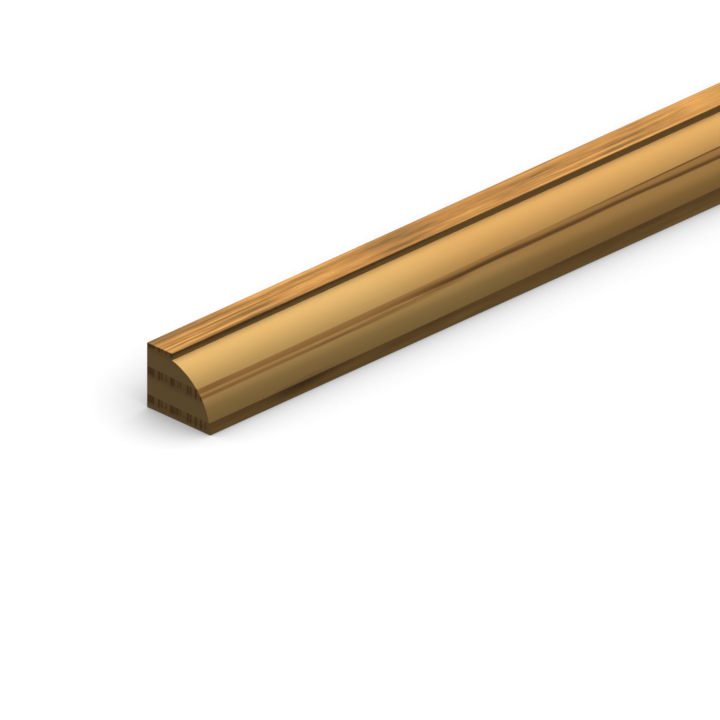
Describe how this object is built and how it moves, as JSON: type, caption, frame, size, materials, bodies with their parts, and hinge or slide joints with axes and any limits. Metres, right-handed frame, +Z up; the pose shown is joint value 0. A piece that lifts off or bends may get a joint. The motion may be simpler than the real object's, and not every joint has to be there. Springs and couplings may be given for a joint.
{
  "type": "sash bead moulding",
  "caption": "Straight stick of hardwood bead moulding with a flat back, a narrow flat top, a small quirk and a long ovolo curve, for trimming a window sash.",
  "frame": {"origin": "centre of the flat base, half way along the stick and half way across it", "axes": "+X along the stick, +Z up from the base to the flat top, +Y out of the flat back, so the moulded face looks towards -Y"},
  "size_m": [2.4, 0.021, 0.017],
  "materials": {
    "timber": "planed and fine sanded, with a thin clear satin finish"
  },
  "bodies": {
    "root": {"sash_bead": "timber"}
  },
  "joints": []
}
